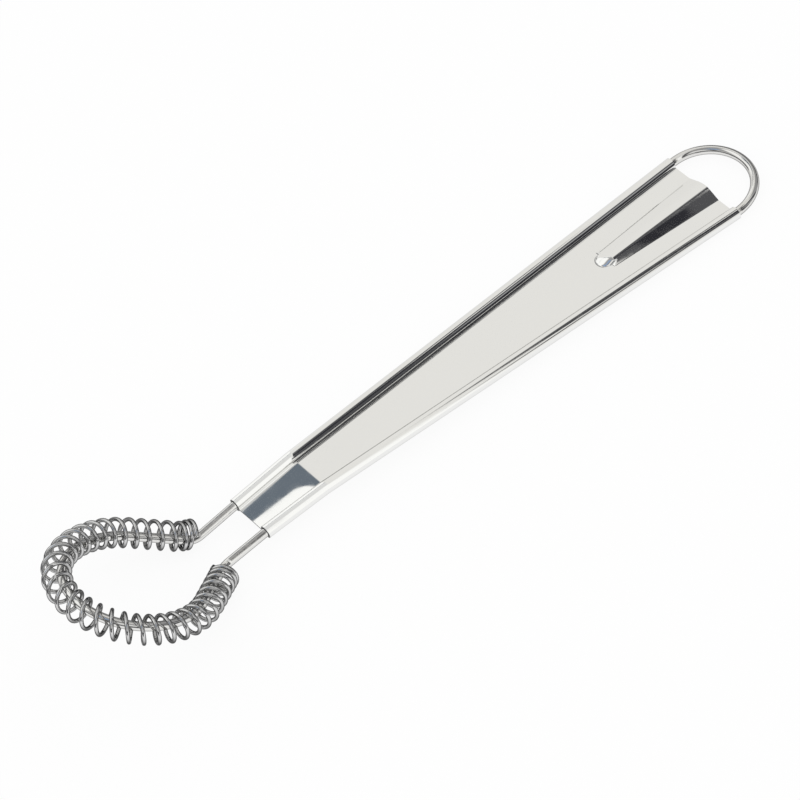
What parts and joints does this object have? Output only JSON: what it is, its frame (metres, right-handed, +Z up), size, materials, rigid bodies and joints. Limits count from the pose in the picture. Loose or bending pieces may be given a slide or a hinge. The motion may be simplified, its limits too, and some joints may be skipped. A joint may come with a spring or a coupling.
{
  "type": "coil whisk",
  "caption": "Coil whisk for dough and sauce: pear-shaped wire head threaded with a loose coil spring, on a tapering sheet handle rolled round the wire, with a hanging loop.",
  "frame": {"origin": "centre of the whisk's outline at the level of the surface it lies on, lying on its back", "axes": "+X along the handle from the head to the hanging loop, +Y across to the handle's left roll, +Z up, the side the rib and the head rise to"},
  "size_m": [0.251, 0.0518, 0.0268],
  "materials": {
    "polished_sheet": "mirror-polished stainless steel sheet",
    "bright_wire": "bright drawn stainless steel wire",
    "spring_wire": "satin drawn spring steel wire"
  },
  "bodies": {
    "root": {"handle": "polished_sheet", "frame_wire": "bright_wire", "coil_spring": "spring_wire"}
  },
  "joints": []
}
